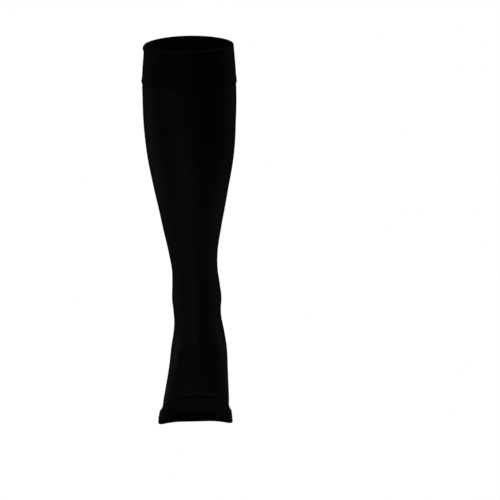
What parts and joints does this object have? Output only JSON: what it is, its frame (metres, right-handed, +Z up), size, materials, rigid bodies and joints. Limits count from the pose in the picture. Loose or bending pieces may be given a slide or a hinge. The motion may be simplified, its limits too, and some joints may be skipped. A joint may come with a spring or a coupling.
{
  "type": "compression stocking",
  "caption": "Knee-high compression stocking of smooth black knit with a doubled top band and an open toe, filled out as worn, the foot pointed down.",
  "frame": {"origin": "centre of the top opening, level with the rim, where the calf below the knee holds the stocking up", "axes": "+Z up the leg, -Y the way the toes point, +X to the wearer's left side"},
  "size_m": [0.1169, 0.1764, 0.4829],
  "materials": {
    "leg_knit": "smooth matt fine knit with a soft sheen",
    "band_knit": "matt doubled knit"
  },
  "bodies": {
    "root": {"top_band": "band_knit", "leg": "leg_knit", "heel": "leg_knit", "foot": "leg_knit", "toe_band": "band_knit"}
  },
  "joints": []
}
